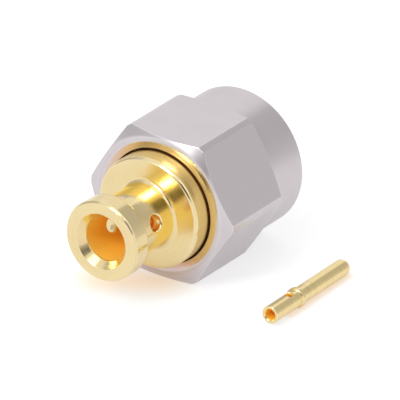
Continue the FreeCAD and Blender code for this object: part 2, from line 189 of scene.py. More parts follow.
# Millimetres in, one closed mesh in metres out, its place in its points
def makePiece(name, points, faces, layers, place=Matrix.Identity(4)):
    mesh = bpy.data.meshes.new(name)
    mesh.from_pydata((points * mm).tolist(), [], faces.tolist())
    for label, values in layers.items():
        mesh.attributes.new(label, "FLOAT", "POINT").data.foreach_set(
            "value", np.ascontiguousarray(values, np.float32).reshape(-1))
    work = bmesh.new()
    work.from_mesh(mesh)
    bmesh.ops.remove_doubles(work, verts=work.verts, dist=weld)
    bmesh.ops.recalc_face_normals(work, faces=work.faces)
    loose = [e for e in work.edges if not e.link_faces]
    bmesh.ops.delete(work, geom=loose, context="EDGES")
    openEdges = sum(not e.is_manifold for e in work.edges)
    work.to_mesh(mesh)
    work.free()
    mesh.transform(place)
    mesh.polygons.foreach_set("use_smooth", np.ones(len(mesh.polygons), bool))
    piece = bpy.data.objects.new(name, mesh)
    bpy.context.scene.collection.objects.link(piece)
    print(f"{name}: {len(mesh.polygons)} faces, {openEdges} open edges")
    return piece


plugBody = {
    "cableEnd": -10.76, "ferruleFront": -9.58, "shoulder": -6.6, "gapStart": -5.58, "flange": -2.75,
    "ferruleRadius": 2.24, "ferruleChamfer": (0.12, 0.09), "neckRadius": 1.73,
    "barrelRadius": 3.12, "barrelChamfer": 0.12,
    "noseRadius": 2.295, "noseChamfer": 0.1, "gasketSeatRadius": 2.5, "gasketSeatEnd": -2.05,
    "grooveRear": -4.38, "grooveFront": -3.78, "grooveRadius": 2.75,
    "mouthRadius": 1.565, "mouthDepth": 0.42, "cableRadius": 1.21, "stop": -5.61,
    "dielectricRadius": 0.9, "beadSeatRadius": 2.07, "beadSeatRear": -3.0,
    # how far each kind of corner is softened
    "soft": 0.03, "seatSoft": 0.02, "mouthSoft": 0.05, "ferruleRearSoft": 0.035,
    "ferruleFrontSoft": 0.13, "neckRearSoft": 0.04, "neckFootSoft": 0.27, "shoulderSoft": 0.07,
    "holeStation": -8.13, "holeHeading": 160.5, "holeRadius": 0.45, "holeChamfer": 0.05,
    "sides": 120, "windowHalf": 12, "windowReach": 0.78, "windowRows": 12,
    # the countersink's turning marks and finish, and how much darker the first stretch of the cable bore
    # is painted
    "mouthTurned": 3.0, "mouthFaced": 0.35, "boreDarkening": 0.15, "boreDarkeningDepth": 0.2,
}


# A stepped profile (x, r) turned about X, with two cross holes on one tilted line. From the cable
# end it runs forward outside, over ferrule, neck, barrel and nose, and back through the bores.
def makePlugBody(s):
    rear, shoulder, flange = s["cableEnd"], s["shoulder"], s["flange"]
    mouthEnd, chamfer, soft = rear + s["mouthDepth"], s["barrelChamfer"], s["soft"]
    ferrule, neck, barrel, nose = (s[k] for k in ("ferruleRadius", "neckRadius", "barrelRadius",
                                                  "noseRadius"))
    corners = [
        (rear, s["mouthRadius"], soft, 1),
        (rear, ferrule - s["ferruleChamfer"][1], s["ferruleRearSoft"], 1),
        (rear + s["ferruleChamfer"][0], ferrule, s["ferruleRearSoft"], 1),
        (s["ferruleFront"], ferrule, s["ferruleFrontSoft"], 1),
        (s["ferruleFront"], neck, s["neckRearSoft"], 0),
        (shoulder, neck, s["neckFootSoft"], 0),
        (shoulder, barrel - chamfer, s["shoulderSoft"], 1),
        (shoulder + chamfer, barrel, s["shoulderSoft"], 1),
        (s["gapStart"], barrel, soft, 0),
        (s["grooveRear"], barrel, soft, 1), (s["grooveRear"], s["grooveRadius"], soft, 0),
        (s["grooveFront"], s["grooveRadius"], soft, 0), (s["grooveFront"], barrel, soft, 1),
        (flange - chamfer, barrel, soft, 1), (flange, barrel - chamfer, soft, 1),
        (flange, s["gasketSeatRadius"], soft, 0), (s["gasketSeatEnd"], s["gasketSeatRadius"], soft, 1),
        (s["gasketSeatEnd"], nose, soft, 0), (-s["noseChamfer"], nose, soft, 1),
        (0.0, nose - s["noseChamfer"], soft, 1), (0.0, s["beadSeatRadius"], s["seatSoft"], 1),
        (s["beadSeatRear"], s["beadSeatRadius"], s["seatSoft"], 0),
        (s["beadSeatRear"], s["dielectricRadius"], soft, 1), (s["stop"], s["dielectricRadius"], soft, 1),
        (s["stop"], s["cableRadius"], soft, 0), (mouthEnd, s["cableRadius"], s["mouthSoft"], 1),
    ]
    points, faces, edge = turnedAndDrilled(
        corners, s, (5, neck), (25, s["cableRadius"]), math.radians(s["holeHeading"]),
        (0, s["sides"] // 2))
    x, r = points[:, 0], np.linalg.norm(points[:, 1:], axis=1)
    # painted light: deep in the bores the plating gets a painted orange glow for the light that they pass
    # on, and what lies in the nut gets painted shade
    paintedBoreGlowAndShade = (r < s["cableRadius"] + soft) & (x > mouthEnd + soft) & (x < s["beadSeatRear"] - near)
    # painted reflection: the barrel gets a deeper gold for the gold it reflects
    paintedDeepReflection = (r > barrel - near) & (x > shoulder)
    faced = paintedDeepReflection | (np.abs(x - shoulder) < near) & (r > neck + s["neckFootSoft"])
    # painted shade on what lies inside the nut
    shaded = (r > s["grooveRadius"] - near) & (x > s["gapStart"])
    countersink = (r < s["mouthRadius"] + near) & (x < mouthEnd + near)
    return makePiece("turned_plug_body", points, faces, {
        "edgeWearAndHighlight": edge, "turned": np.where(countersink, s["mouthTurned"], 1.0),
        "paintedBoreGlowAndShade": paintedBoreGlowAndShade, "paintedDeepReflection": paintedDeepReflection, "faced": faced + s["mouthFaced"] * (countersink & ~faced),
        "paintedShadeAndReflection": shaded + s["boreDarkening"] * paintedBoreGlowAndShade * (x < mouthEnd + s["boreDarkeningDepth"])})


couplingNut = {
    "rear": -5.6, "front": 2.16, "hexEnd": -0.62, "halfFlat": 4.0, "cornerRadius": 4.515,
    "rearFaceRadius": 3.88, "rearChamfer": 0.33, "frontChamfer": 0.2, "skirtRadius": 3.875,
    "skirtChamfer": 0.15, "mouthRadius": 3.615, "mouthDepth": 0.13, "boreRadius": 3.22,
    "grooveRear": -4.38, "grooveFront": -3.78, "grooveRadius": 3.55,
    # degrees from a flat's middle: one side's share of the turn, closest where flat meets corner
    "acrossSide": (-30, -28.9, -28.2, -27.9, -27.7, -27.55, -27.35, -27.0, -26.2, -24.5, -20, -15,
                   -10, -5, 0, 5, 10, 15, 20, 24.5, 26.2, 27.0, 27.35, 27.55, 27.7, 27.9, 28.2, 28.9),
    "flatEnd": 27.63, "flatEndWidth": 0.25, "cornerBlend": 0.012,
    "majorRadius": 3.2, "minorRadius": 2.79, "pitch": 0.7056, "threadEnd": -1.44,
    "threadRunout": 0.05, "leadIn": 0.25, "threadStart": 0.2, "rowsPerTurn": 14,
    "flankSteepness": 1.32, "rootFlat": 0.14, "crestRounding": 0.35,
    # how far each kind of corner is softened, and how much the rear face's two show worn edge with a
    # painted highlight
    "soft": 0.03, "boreSoft": 0.02, "mouthSoft": 0.04, "rearSoft": 0.15, "threadSoft": 0.002,
    "mouthWearAndHighlight": 0.4, "rearWearAndHighlight": 0.2,
}


# A profile (x, r) turned about X whose hexagon's r changes with the angle a: the smaller of the
# flat's radius, halfFlat / cos a, and the turned corner's, with a soft change between them.
# Thread: r = major - depth * ridge, where ridge rises and falls once in x / pitch + a / 2pi.
def makeCouplingNut(s):
    sideMiddles = np.arange(6)[:, None] * 60 + 90
    angles = np.radians((sideMiddles + np.array(s["acrossSide"])).reshape(-1))
    fromFlat = np.radians(np.tile(s["acrossSide"], 6))
    corner, k = s["cornerRadius"], s["cornerBlend"]
    flat = s["halfFlat"] / np.cos(fromFlat)
    mix = np.clip(0.5 + 0.5 * (corner - flat) / k, 0, 1)
    hexRadius = corner * (1 - mix) + flat * mix - k * mix * (1 - mix)
    rearDrop, frontDrop = ((hexRadius - low) / (corner - low)
                           for low in (s["rearFaceRadius"], s["skirtRadius"]))
    bore, major, soft, boreSoft = s["boreRadius"], s["majorRadius"], s["soft"], s["boreSoft"]
    rear, front, skirt = s["rear"], s["front"], s["skirtRadius"]
    # x, r, softness, edge and whether it is turned; corners 8 and 9 make way for the thread
    plan = [
        (rear, s["mouthRadius"], s["mouthSoft"], s["mouthWearAndHighlight"], 1),
        (rear, s["rearFaceRadius"], s["rearSoft"], s["rearWearAndHighlight"], 1),
        (rear + s["rearChamfer"] * rearDrop, hexRadius, soft, 1, 0),
        (s["hexEnd"] - s["frontChamfer"] * frontDrop, hexRadius, soft, 1, 0),
        (s["hexEnd"], skirt, boreSoft, 0, 1), (front - s["skirtChamfer"], skirt, soft, 1, 1),
        (front, skirt - s["skirtChamfer"], soft, 1, 1), (front, major + s["leadIn"], boreSoft, 1, 1),
        (front - s["leadIn"], major, s["threadSoft"], 0, 1),
        (s["threadEnd"], major, s["threadSoft"], 0, 1),
        (s["threadEnd"] - s["threadRunout"], bore, boreSoft, 0, 1),
        (s["grooveFront"], bore, boreSoft, 1, 1), (s["grooveFront"], s["grooveRadius"], boreSoft, 0, 1),
        (s["grooveRear"], s["grooveRadius"], boreSoft, 0, 1), (s["grooveRear"], bore, boreSoft, 1, 1),
        (rear + s["mouthDepth"], bore, boreSoft, 1, 1),
    ]
    corners = np.stack([np.stack([np.broadcast_to(value, angles.shape) for value in (x, r)], axis=-1)
                        for x, r, *_ in plan], axis=1)
    outline = softened(corners, [p[2] for p in plan])
    edge = edgeShare([p[3] for p in plan])
    turned = np.repeat([p[4] for p in plan], perCorner).astype(float)
    rows = int((front - s["threadEnd"]) / s["pitch"] * s["rowsPerTurn"])
    x = np.linspace(front - s["leadIn"] * s["threadStart"], s["threadEnd"] + near, rows)[None, :]
    turn = (x / s["pitch"] - angles[:, None] / (2 * math.pi)) % 1.0
    ridge = np.clip((0.5 - np.abs(turn - 0.5)) * 2 * s["flankSteepness"] - s["rootFlat"], 0, 1)
    rounded = ridge * ridge * (3 - 2 * ridge)
    ridge = rounded * s["crestRounding"] + ridge * (1 - s["crestRounding"])
    helix = major - (major - s["minorRadius"]) * ridge
    mouth = major + s["leadIn"] - (front - x)
    inner = major - (x - s["threadEnd"])
    radius = np.maximum(np.maximum(helix, mouth), inner)
    thread = np.stack([np.broadcast_to(x, radius.shape), radius], axis=-1)
    first, last = perCorner * 8, perCorner * 10
    outline = np.concatenate([outline[:, :first], thread, outline[:, last:]], axis=1)
    edge = np.concatenate([edge[:first], np.zeros(rows), edge[last:]])
    turned = np.concatenate([turned[:first], np.ones(rows), turned[last:]])
    # the hexagon lies between the middles of its rear and front corners, and its flats' ends are edges
    place = np.arange(outline.shape[1])
    hexFirst, hexLast = perCorner * 2 + midCorner + 1, perCorner * 3 + midCorner
    onHex = ((place >= hexFirst) & (place < hexLast)).astype(float)
    offFlat = np.abs(np.degrees(fromFlat))
    flatEdge = np.clip(1 - np.abs(offFlat - s["flatEnd"]) / s["flatEndWidth"], 0, 1)
    isCorner = (offFlat > s["flatEnd"]).astype(float)
    x, r = outline[..., 0], outline[..., 1]
    behind = x < rear + s["rearChamfer"] + near
    faced = behind & (r > s["mouthRadius"] - 5 * near) & (place < hexFirst)
    # painted reflection: the mouth's chamfer takes a warm tint for the gold body it reflects
    paintedBodyReflection = behind & (r < s["mouthRadius"] - 2 * near) & (r > bore + near / 2)
    # painted shade: the bore wall behind the groove is painted dark
    paintedBoreGlowAndShade = (r < bore + near / 2) & (x < s["grooveRear"] + 2 * near)
    points = turnedPoints(outline, angles).reshape(-1, 3)
    return makePiece("coupling_nut_turned", points, gridQuads(len(angles), outline.shape[1]), {
        "edgeWearAndHighlight": np.maximum(edge, flatEdge[:, None] * onHex),
        "turned": np.maximum(turned, isCorner[:, None] * onHex),
        "paintedBoreGlowAndShade": paintedBoreGlowAndShade, "faced": faced, "paintedShadeAndReflection": paintedBodyReflection})


centreContact = {
    "cupRadius": 0.48, "boreRadius": 0.3, "mouthChamfer": 0.05, "boreDepth": 2.2, "drillHalfAngle": 59,
    "collarStart": 2.4, "collarEnd": 2.72, "collarRadius": 0.56, "collarChamfer": 0.06,
    "pinRadius": 0.47, "taperStart": 7.04, "tip": 7.36, "tipRadius": 0.28,
    "soft": 0.02, "mouthSoft": 0.01, "rimSoft": 0.05, "collarSoft": 0.03, "taperSoft": 0.08,
    "holeStation": 1.83, "holeHeading": 90.0, "holeRadius": 0.23, "holeChamfer": 0.03,
    "sides": 64, "windowHalf": 10, "windowReach": 0.34, "windowRows": 8,
    "insideFrom": 0.06, "insideWall": 0.1,  # mm past the mouth, and into the wall round the bore
    "cupAt": (-6.43, -7.83, -3.384002), "heading": 2.0, "roll": -5.0,
}


# It lies on its collar and on the edge where the taper starts: lean = asin(step / their distance)
def contactPlace(s):
    lean = math.asin((s["collarRadius"] - s["pinRadius"]) / (s["taperStart"] - s["collarEnd"]))
    turn = Matrix.Rotation(math.radians(s["heading"]), 4, "Z") @ Matrix.Rotation(lean, 4, "Y")
    roll = Matrix.Rotation(math.radians(s["roll"]), 4, "X")
    return Matrix.Translation(Vector(s["cupAt"]) * mm) @ turn @ roll


# A profile (x, r) turned about X, with one cross hole into the cup. From the cup's mouth it runs
# forward outside, over collar and pin, and back through the cup's bore.
def makeCentreContact(s):
    cup, bore, collar, pin = (s[k] for k in ("cupRadius", "boreRadius", "collarRadius", "pinRadius"))
    soft, chamfer = s["soft"], s["collarChamfer"]
    drillPoint = s["boreDepth"] + bore / math.tan(math.radians(s["drillHalfAngle"]))
    corners = [
        (0.0, bore + s["mouthChamfer"], s["mouthSoft"], 1), (0.0, cup, s["rimSoft"], 1),
        (s["collarStart"], cup, soft, 0), (s["collarStart"], collar - chamfer, soft, 1),
        (s["collarStart"] + chamfer, collar, s["collarSoft"], 1),
        (s["collarEnd"] - chamfer, collar, s["collarSoft"], 1),
        (s["collarEnd"], collar - chamfer, soft, 1), (s["collarEnd"], pin, soft, 0),
        (s["taperStart"], pin, s["taperSoft"], 1), (s["tip"], s["tipRadius"], s["rimSoft"], 1),
        (s["tip"], 0.0, 0.0, 0), (drillPoint, 0.0, 0.0, 0),
        (s["boreDepth"], bore, soft, 0), (s["mouthChamfer"], bore, s["mouthSoft"], 1),
    ]
    points, faces, edge = turnedAndDrilled(
        corners, s, (2, cup), (13, bore), math.radians(s["holeHeading"]), (0,))
    x, r = points[:, 0], np.linalg.norm(points[:, 1:], axis=1)
    # painted light: the cup's bore gets a painted orange glow
    paintedBoreGlowAndShade = (r < bore + s["insideWall"]) & (x < s["collarStart"]) & (x > s["insideFrom"])
    return makePiece("loose_centre_contact", points, faces, {
        "edgeWearAndHighlight": edge, "turned": np.ones(len(r)), "paintedBoreGlowAndShade": paintedBoreGlowAndShade}, contactPlace(s))


plug = makePlugBody(plugBody)
nut = makeCouplingNut(couplingNut)
contact = makeCentreContact(centreContact)
for piece, node, body, slot in ((plug, "connector_body", "plug", "gold_plated_brass"),
                                (nut, "coupling_nut", "nut", "passivated_steel"),
                                (contact, "centre_contact", "plug", "gold_plated_contact")):
    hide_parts(node)
    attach(piece, body)
print("turned pieces made")


def addNode(tree, kind, inputs=None, **settings):
    node = tree.nodes.new(kind)
    for key, value in settings.items():
        setattr(node, key, value)
    for key, value in (inputs or {}).items():
        if isinstance(value, bpy.types.NodeSocket):
            tree.links.new(value, node.inputs[key])
        else:
            node.inputs[key].default_value = value
    return node


def calc(tree, operation, *values, clamp=False):
    return addNode(tree, "ShaderNodeMath", dict(enumerate(values)), operation=operation,
                   use_clamp=clamp).outputs[0]


def vectorCalc(tree, operation, inputs, output=0):
    return addNode(tree, "ShaderNodeVectorMath", inputs, operation=operation).outputs[output]


def ramp(tree, value, low, high, toLow=0.0, toHigh=1.0, smooth=True):
    return addNode(tree, "ShaderNodeMapRange", {
        "Value": value, "From Min": low, "From Max": high, "To Min": toLow, "To Max": toHigh},
        interpolation_type="SMOOTHSTEP" if smooth else "LINEAR").outputs["Result"]


def blendColour(tree, share, first, second):
    first, second = (c if isinstance(c, bpy.types.NodeSocket) else (*c, 1.0) for c in (first, second))
    return addNode(tree, "ShaderNodeMix", {"Factor": share, 6: first, 7: second},
                   data_type="RGBA").outputs[2]


def noise(tree, vector, scale, detail=2.0, roughness=0.5):
    return addNode(tree, "ShaderNodeTexNoise", {
        "Vector": vector, "Scale": scale, "Detail": detail, "Roughness": roughness}).outputs["Fac"]


def noiseAlong(tree, path, detail, roughness=0.5):
    return addNode(tree, "ShaderNodeTexNoise", {
        "W": path, "Scale": 1.0, "Detail": detail, "Roughness": roughness},
        noise_dimensions="1D").outputs["Fac"]


def inMillimetres(tree, vector):
    return vectorCalc(tree, "SCALE", {0: vector, "Scale": 1 / mm})


def newGroup(name, inputs, outputs):
    group = bpy.data.node_groups.new(name, "ShaderNodeTree")
    for label, kind, value in inputs:
        socket = group.interface.new_socket(label, in_out="INPUT", socket_type=kind)
        if value is not None:
            socket.default_value = value
    for label in outputs:
        group.interface.new_socket(label, in_out="OUTPUT", socket_type="NodeSocketFloat")
    return group, group.nodes.new("NodeGroupInput").outputs, group.nodes.new("NodeGroupOutput").inputs


turningLook = {"radiusShare": 1.37, "waverScale": 0.7, "waverDetail": 1.0, "fine": (3.0, 0.7),
               "bandWidth": 0.16, "bandDetail": 2.0}


# Turning marks: noise along x + 1.37 r, so they ring a wall along its length and a face by its radius
def makeTurningMarks(s):
    group, given, out = newGroup("turningMarks", [
        ("Vector", "NodeSocketVector", None), ("Fineness", "NodeSocketFloat", 12.0),
        ("Waver", "NodeSocketFloat", 0.02)], ["Height", "Bands"])
    inMm = inMillimetres(group, given["Vector"])
    parts = addNode(group, "ShaderNodeSeparateXYZ", {0: inMm}).outputs
    radius = calc(group, "SQRT", calc(group, "ADD", calc(group, "MULTIPLY", parts[1], parts[1]),
                                      calc(group, "MULTIPLY", parts[2], parts[2])))
    along = calc(group, "ADD", parts[0], calc(group, "MULTIPLY", radius, s["radiusShare"]))
    waver = calc(group, "MULTIPLY", noise(group, inMm, s["waverScale"], s["waverDetail"]), given["Waver"])
    path = calc(group, "MULTIPLY", calc(group, "ADD", along, waver), given["Fineness"])
    wide = calc(group, "MULTIPLY", path, s["bandWidth"])
    group.links.new(noiseAlong(group, path, *s["fine"]), out["Height"])
    group.links.new(noiseAlong(group, wide, s["bandDetail"]), out["Bands"])
    return group


# Noise as scale, detail and roughness, and the levels that a ramp takes from it
handlingLook = {
    "smudge": (0.55, 4.0, 0.6), "smudgeLevels": (0.35, 0.68), "grain": (2.0, 0.6),
    "scratch": (1.0, 0.0), "scratchTurn": (0.4, 0.9, 0.3), "scratchStretch": (0.3, 1.3, 0.8),
    "scratchWidth": 0.008, "scratched": (0.9, 1.0), "scratchedLevels": (0.58, 0.70),
}


# What handling leaves on metal: soft smudges, a fine grain and a few hair scratches, which are the
# thin lines where a stretched noise passes its middle, and show where another noise is high
def makeHandling(s):
    group, given, out = newGroup("handlingMarks", [
        ("Vector", "NodeSocketVector", None), ("Grain", "NodeSocketFloat", 16.0)],
        ["Smudge", "Grain", "Scratch"])
    inMm = inMillimetres(group, given["Vector"])
    smudge = ramp(group, noise(group, inMm, *s["smudge"]), *s["smudgeLevels"])
    stretched = addNode(group, "ShaderNodeMapping", {
        0: inMm, "Rotation": s["scratchTurn"], "Scale": s["scratchStretch"]}).outputs[0]
    fromMiddle = calc(group, "SUBTRACT", noise(group, stretched, *s["scratch"]), 0.5)
    where = ramp(group, noise(group, inMm, *s["scratched"]), *s["scratchedLevels"])
    line = ramp(group, calc(group, "ABSOLUTE", fromMiddle), s["scratchWidth"], 0.0)
    group.links.new(smudge, out["Smudge"])
    group.links.new(noise(group, inMm, given["Grain"], *s["grain"]), out["Grain"])
    group.links.new(calc(group, "MULTIPLY", line, where), out["Scratch"])
    return group


wearAndHighlightLook = {"noise": (3.5, 3.0), "levels": (0.25, 0.7), "share": (0.35, 1.0)}


# Worn edges with a painted highlight line: the mesh's own edge share, broken up by noise
def makeEdgeWearAndHighlight(s):
    group, given, out = newGroup("edgeWearAndHighlightMask", [
        ("Vector", "NodeSocketVector", None), ("Edge", "NodeSocketFloat", 0.0)], ["Worn"])
    inMm = inMillimetres(group, given["Vector"])
    broken = ramp(group, noise(group, inMm, *s["noise"]), *s["levels"], *s["share"])
    group.links.new(calc(group, "MULTIPLY", given["Edge"], broken), out["Worn"])
    return group


turningMarks = makeTurningMarks(turningLook)
handlingMarks = makeHandling(handlingLook)
edgeWearAndHighlightMask = makeEdgeWearAndHighlight(wearAndHighlightLook)


def useGroup(tree, group, inputs):
    return addNode(tree, "ShaderNodeGroup", inputs, node_tree=group).outputs


def newMaterial(name):
    material = bpy.data.materials.new(name)
    material.use_nodes = True
    tree = material.node_tree
    return material, tree, tree.nodes["Principled BSDF"]


def bumpFrom(tree, height, surface):
    bump = addNode(tree, "ShaderNodeBump", {"Height": height, "Distance": 1.0, "Strength": 1.0})
    tree.links.new(bump.outputs[0], surface.inputs["Normal"])


# How marks show on every metal; each metal's own values follow. Heights are in mm.
metalMarks = {"bandLevels": (0.35, 0.7), "smudgeTint": 0.3, "wearAndHighlightTint": 0.6, "scratchRoughness": 0.08,
              "scratchDepth": 0.0002, "brushedRound": 0.25}
goldPlate = {
    # the last three colours paint light: a deeper gold for reflections of gold, an orange glow in the
    # bores and shade in the gap; the third is partly a painted edge highlight
    "colour": (0.865, 0.715, 0.405), "deep": (0.82, 0.64, 0.33), "paleWearAndHighlight": (0.93, 0.83, 0.58),
    "echo": (0.99, 0.77, 0.25), "paintedDeepReflection": (0.98, 0.745, 0.27), "paintedBoreGlowAndShade": (1.0, 0.63, 0.06),
    "paintedShadeAndReflection": (0.42, 0.245, 0.125), "insideMetal": 0.25, "insideRoughness": 0.5, "roughness": 0.10,
    "facedRoughness": 0.10, "smudgeRoughness": 0.07, "grainRoughness": 0.05,
    "bands": 0.4, "fineness": 12.0, "waver": 0.03, "markHeight": 0.0009, "grainHeight": 0.0003,
    "anisotropy": 0.6,
}
contactPlate = dict(goldPlate, colour=(0.92, 0.738, 0.37), fineness=22.0, markHeight=0.00015,
                    grainHeight=0.0001, roughness=0.11)
springBronze = dict(goldPlate, colour=(0.60, 0.36, 0.19), deep=(0.45, 0.25, 0.12), paleWearAndHighlight=(0.8, 0.6, 0.4),
                    roughness=0.28, fineness=14.0)
passivated = {
    # the last three colours paint light: a deeper tone for reflections, shade on the bore wall and the
    # gold body's reflection in the mouth; the third is partly a painted edge highlight
    "colour": (0.665, 0.615, 0.64), "deep": (0.62, 0.575, 0.60), "paleWearAndHighlight": (0.98, 0.95, 0.96),
    "echo": (0.68, 0.62, 0.62), "paintedDeepReflection": (0.6, 0.56, 0.58), "paintedBoreGlowAndShade": (0.15, 0.06, 0.025),
    "paintedShadeAndReflection": (0.74, 0.59, 0.56), "insideMetal": 0.0, "insideRoughness": 0.4, "roughness": 0.31,
    "facedRoughness": -0.10, "smudgeRoughness": 0.05, "grainRoughness": 0.10,
    "bands": 0.15, "fineness": 9.0, "waver": 0.03, "markHeight": 0.0007, "grainHeight": 0.0010,
    "anisotropy": 0.35,
}


# Plated or passivated metal: colour, roughness and bump from turning, handling and worn edges that also
# carry a painted highlight, with painted glow, shade and reflections in bores, gaps and on the barrel
def metalFinish(name, look, place=None):
    material, tree, surface = newMaterial(name)
    where = addNode(tree, "ShaderNodeTexCoord").outputs["Object"]
    if place is not None:
        inverse = place.inverted()
        where = addNode(tree, "ShaderNodeMapping", {
            "Vector": where, "Location": inverse.to_translation(), "Rotation": inverse.to_euler(),
        }).outputs[0]
    edge, turned, paintedBoreGlowAndShade, paintedDeepReflection, paintedShadeAndReflection, faced = (
        addNode(tree, "ShaderNodeAttribute", attribute_name=label).outputs["Fac"]
        for label in ("edgeWearAndHighlight", "turned", "paintedBoreGlowAndShade", "paintedDeepReflection", "paintedShadeAndReflection", "faced"))
    marks = useGroup(tree, turningMarks, {"Vector": where, "Fineness": look["fineness"],
                                          "Waver": look["waver"]})
    handled = useGroup(tree, handlingMarks, {"Vector": where})
    wearHighlightShare = useGroup(tree, edgeWearAndHighlightMask, {"Vector": where, "Edge": edge})["Worn"]

    def times(first, second):
        return calc(tree, "MULTIPLY", first, second)

    tone = times(ramp(tree, marks["Bands"], *metalMarks["bandLevels"]), turned)
    tone = calc(tree, "ADD", times(tone, look["bands"]),
                times(handled["Smudge"], metalMarks["smudgeTint"]), clamp=True)
    colour = blendColour(tree, tone, look["colour"], look["deep"])
    # painted reflection: a deeper colour where reflections of gold show
    colour = blendColour(tree, paintedDeepReflection, colour, look["paintedDeepReflection"])
    # painted orange glow in gold bores, painted dark shade in the nut's bore
    colour = blendColour(tree, paintedBoreGlowAndShade, colour, look["paintedBoreGlowAndShade"])
    # painted shade in the gap and a darker first stretch of the bore, and on the nut a painted reflection
    # of the gold body
    colour = blendColour(tree, paintedShadeAndReflection, colour, look["paintedShadeAndReflection"])
    # paler worn edges, partly wear and partly a painted highlight line
    colour = blendColour(tree, times(wearHighlightShare, metalMarks["wearAndHighlightTint"]), colour, look["paleWearAndHighlight"])
    # plating seen in other plating deepens with each reflection
    echo = addNode(tree, "ShaderNodeLightPath").outputs["Is Glossy Ray"]
    colour = blendColour(tree, echo, colour, look["echo"])
    tree.links.new(colour, surface.inputs["Base Color"])
    metal = ramp(tree, paintedBoreGlowAndShade, 0.0, 1.0, 1.0, look["insideMetal"])
    tree.links.new(metal, surface.inputs["Metallic"])
    plain = look["roughness"]
    rough = calc(tree, "ADD", ramp(tree, faced, 0.0, 1.0, plain, plain + look["facedRoughness"]),
                 times(handled["Smudge"], look["smudgeRoughness"]))
    grain = calc(tree, "SUBTRACT", handled["Grain"], 0.5)
    rough = calc(tree, "ADD", rough, times(grain, look["grainRoughness"]))
    rough = calc(tree, "ADD", rough, times(handled["Scratch"], metalMarks["scratchRoughness"]))
    rough = calc(tree, "ADD", rough, times(paintedBoreGlowAndShade, look["insideRoughness"]), clamp=True)
    tree.links.new(rough, surface.inputs["Roughness"])
    height = times(times(marks["Height"], turned), look["markHeight"] * mm)
    height = calc(tree, "ADD", height, times(handled["Grain"], look["grainHeight"] * mm))
    height = calc(tree, "SUBTRACT", height, times(handled["Scratch"], metalMarks["scratchDepth"] * mm))
    bumpFrom(tree, height, surface)
    surface.inputs["Anisotropic"].default_value = look["anisotropy"]
    surface.inputs["Anisotropic Rotation"].default_value = metalMarks["brushedRound"]
    tangent = addNode(tree, "ShaderNodeTangent", direction_type="RADIAL", axis="X")
    tree.links.new(tangent.outputs[0], surface.inputs["Tangent"])
    return material


softMarks = {"fineness": 10.0, "grain": 11.0, "smudgeTint": 0.6, "grainTint": 0.3, "smudgeRoughness": 0.12}
softGoods = {
    "white_dielectric": {"colour": (0.80, 0.80, 0.76), "deep": (0.70, 0.69, 0.63), "roughness": 0.42,
                         "marks": 0.0015, "grain": 0.0006, "specular": 0.35},
    "silicone_rubber": {"colour": (0.42, 0.09, 0.045), "deep": (0.30, 0.055, 0.03), "roughness": 0.62,
                        "marks": 0.0, "grain": 0.004, "specular": 0.4},
}


# Moulded or turned plastic and rubber: mottled colour, faint marks and dust
def plasticFinish(name, look):
    material, tree, surface = newMaterial(name)
    where = addNode(tree, "ShaderNodeTexCoord").outputs["Object"]
    marks = useGroup(tree, turningMarks, {"Vector": where, "Fineness": softMarks["fineness"]})
    handled = useGroup(tree, handlingMarks, {"Vector": where, "Grain": softMarks["grain"]})
    share = calc(tree, "ADD", calc(tree, "MULTIPLY", handled["Smudge"], softMarks["smudgeTint"]),
                 calc(tree, "MULTIPLY", handled["Grain"], softMarks["grainTint"]), clamp=True)
    tree.links.new(blendColour(tree, share, look["colour"], look["deep"]), surface.inputs["Base Color"])
    rough = calc(tree, "ADD", look["roughness"],
                 calc(tree, "MULTIPLY", handled["Smudge"], softMarks["smudgeRoughness"]))
    tree.links.new(rough, surface.inputs["Roughness"])
    bumpFrom(tree, calc(tree, "ADD", calc(tree, "MULTIPLY", marks["Height"], look["marks"] * mm),
                        calc(tree, "MULTIPLY", handled["Grain"], look["grain"] * mm)), surface)
    surface.inputs["Specular IOR Level"].default_value = look["specular"]
    return material


plug.data.materials.append(metalFinish("gold_plate_turned", goldPlate))
nut.data.materials.append(metalFinish("passivated_nut", passivated))
contact.data.materials.append(metalFinish("gold_plate_contact", contactPlate, contactPlace(centreContact)))
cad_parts["retaining_ring"].material_slots[0].material = metalFinish("spring_bronze_wire", springBronze)
for node, look in (("insulator", "white_dielectric"), ("gasket", "silicone_rubber")):
    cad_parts[node].material_slots[0].material = plasticFinish(look + "_moulded", softGoods[look])
print("finishes applied")

# Millimetres and degrees, and the camera's clipping in metres
viewpoint = {"at": (-435.426, -287.666, 267.647), "azimuth": -56.446, "elevation": 27.317,
             "roll": 2.946, "lens": 1007.96, "sensor": 36.0, "clip": (0.001, 10.0)}


# The camera's axes: back points from the object to it, right is level, and roll turns right and up
def makeCamera(v):
    a, e, r = (math.radians(v[k]) for k in ("azimuth", "elevation", "roll"))
    back = Vector((math.sin(a) * math.cos(e), -math.cos(a) * math.cos(e), math.sin(e)))
    right = (-back).cross(Vector((0, 0, 1))).normalized()
    up = right.cross(-back)
    across = right * math.cos(r) + up * math.sin(r)
    upright = up * math.cos(r) - right * math.sin(r)
    data = bpy.data.cameras.new("camera")
    data.sensor_width, data.lens = v["sensor"], v["lens"]
    data.clip_start, data.clip_end = v["clip"]
    camera = bpy.data.objects.new("camera", data)
    turn = Matrix((across, upright, back)).transposed().to_4x4()
    camera.matrix_world = Matrix.Translation(Vector(v["at"]) * mm) @ turn
    bpy.context.scene.collection.objects.link(camera)
    bpy.context.scene.camera = camera
    return back


